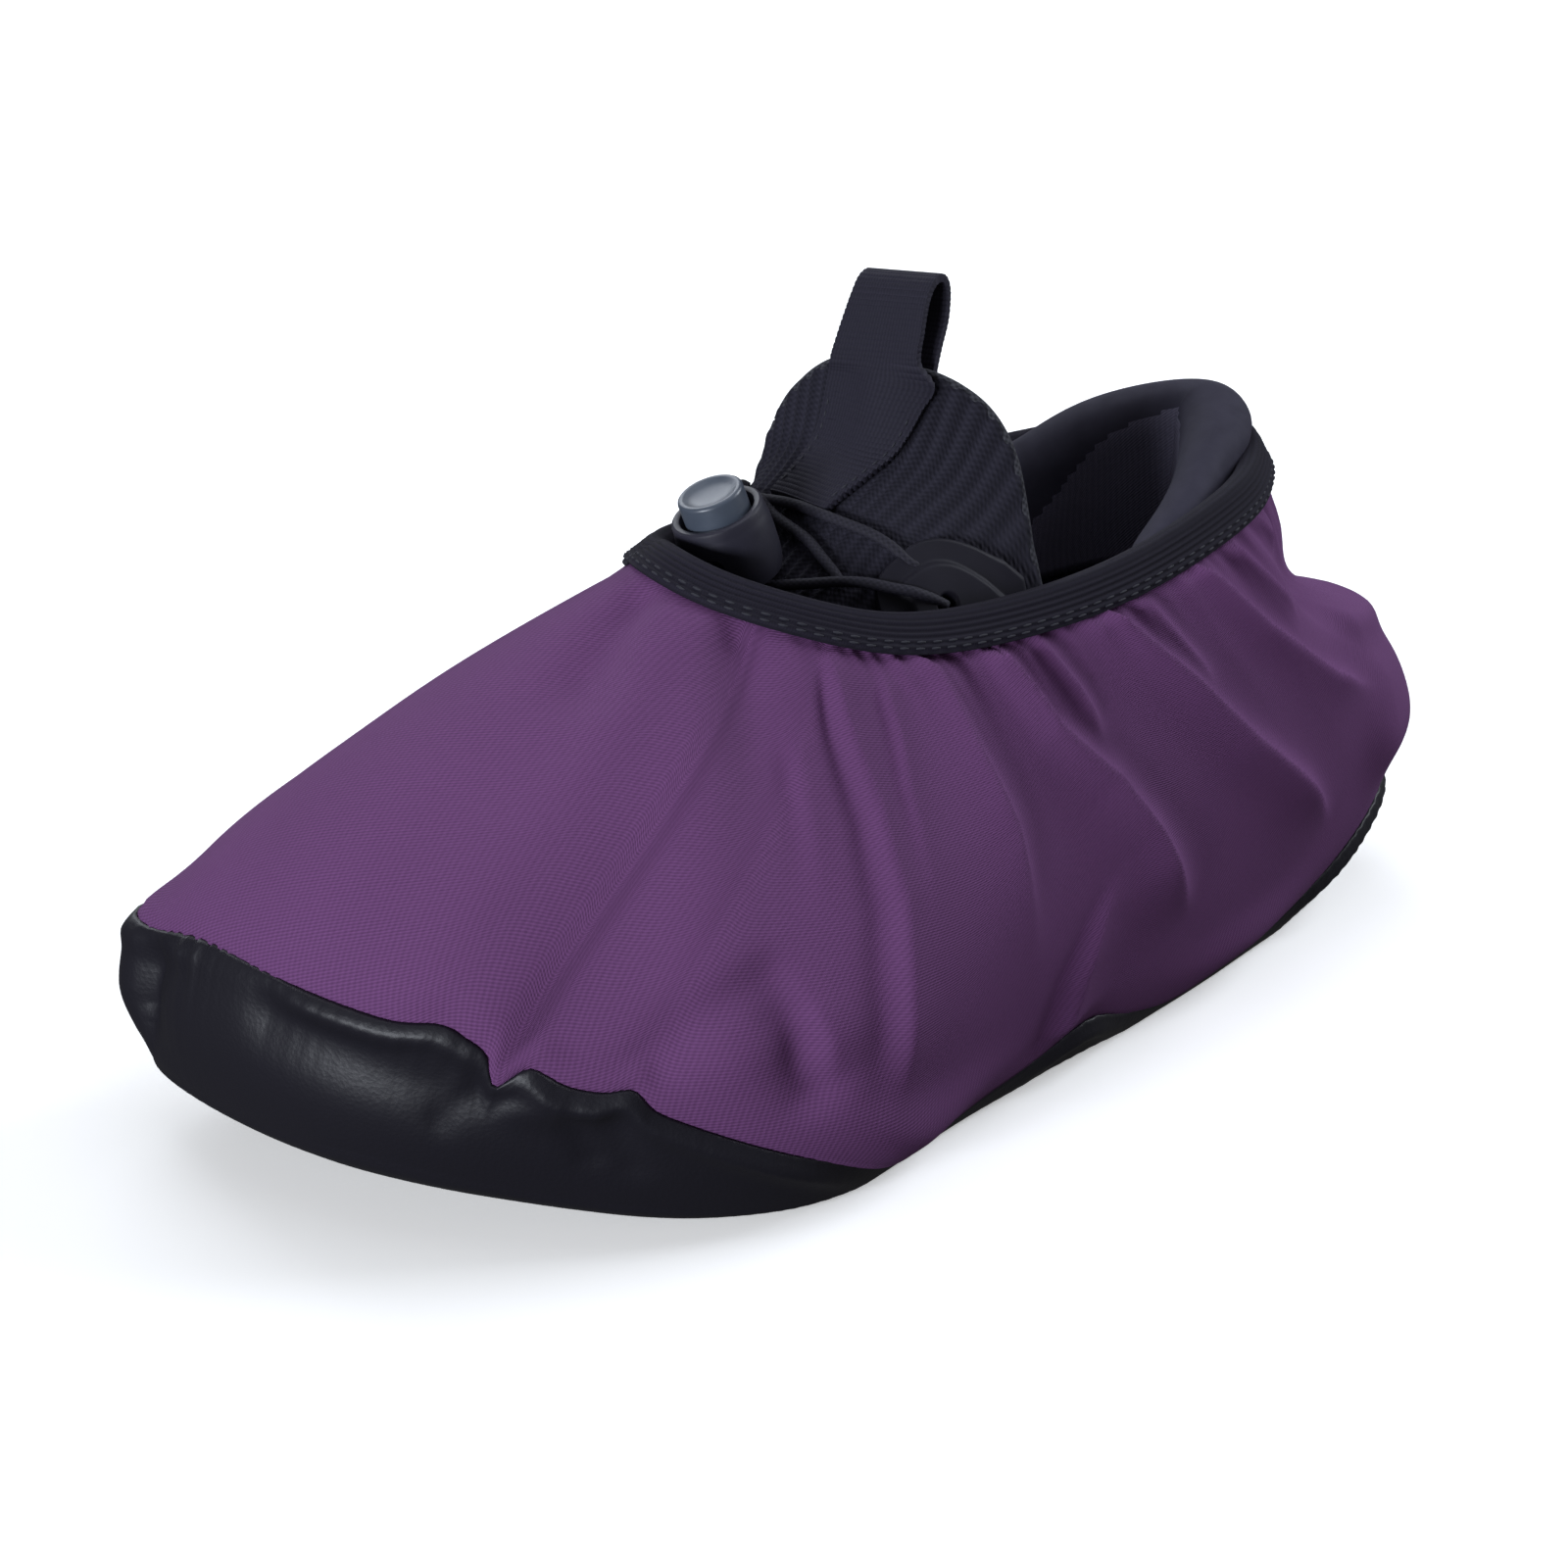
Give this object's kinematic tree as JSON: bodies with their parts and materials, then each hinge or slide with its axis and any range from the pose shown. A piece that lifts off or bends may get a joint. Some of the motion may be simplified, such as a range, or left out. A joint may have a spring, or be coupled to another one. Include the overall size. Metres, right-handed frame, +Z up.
{
  "type": "bowling shoe cover",
  "caption": "Low slip-on bowling shoe cover with a stretch-knit upper, leather-look sole cup, bound collar, vaulted tongue, pull loop and drawcord lock.",
  "frame": {"origin": "middle of the bounding box at the floor plane under the sole", "axes": "+Y from toe to heel, +X to the wearer's left (the outer side of this left shoe), +Z up"},
  "size_m": [0.1251, 0.2725, 0.1464],
  "materials": {
    "leather_black": "fine pebbled satin",
    "knit_purple": "matt fine twill-like knit",
    "elastic_black": "matt ribbed elastic",
    "knit_black": "matt ribbed knit",
    "webbing_black": "matt ribbed webbing",
    "padding_black": "matt brushed lining",
    "rubber_black": "matt moulded",
    "plastic_black": "satin moulded",
    "plastic_grey": "satin moulded",
    "cord_black": "matt braided elastic"
  },
  "bodies": {
    "cover": {"outsole": "leather_black", "upper": "knit_purple", "collar_binding": "elastic_black", "tongue": "knit_black", "pull_loop": "webbing_black", "heel_collar": "padding_black", "lace_tab_lateral": "rubber_black", "lace_tab_medial": "rubber_black", "cord_lock_body": "plastic_black", "cord_cross": "cord_black", "cord_lateral_front": "cord_black", "cord_lateral_side": "cord_black", "cord_medial_side": "cord_black"},
    "lock_button": {"cord_lock_button": "plastic_grey"}
  },
  "joints": [
    {"name": "lock_press", "type": "slide", "parent": "cover", "child": "lock_button", "axis": [0.1105, 0.3113, -0.9439], "range_m": [0, 0.0035], "stiffness_N_per_m": 1500}
  ]
}
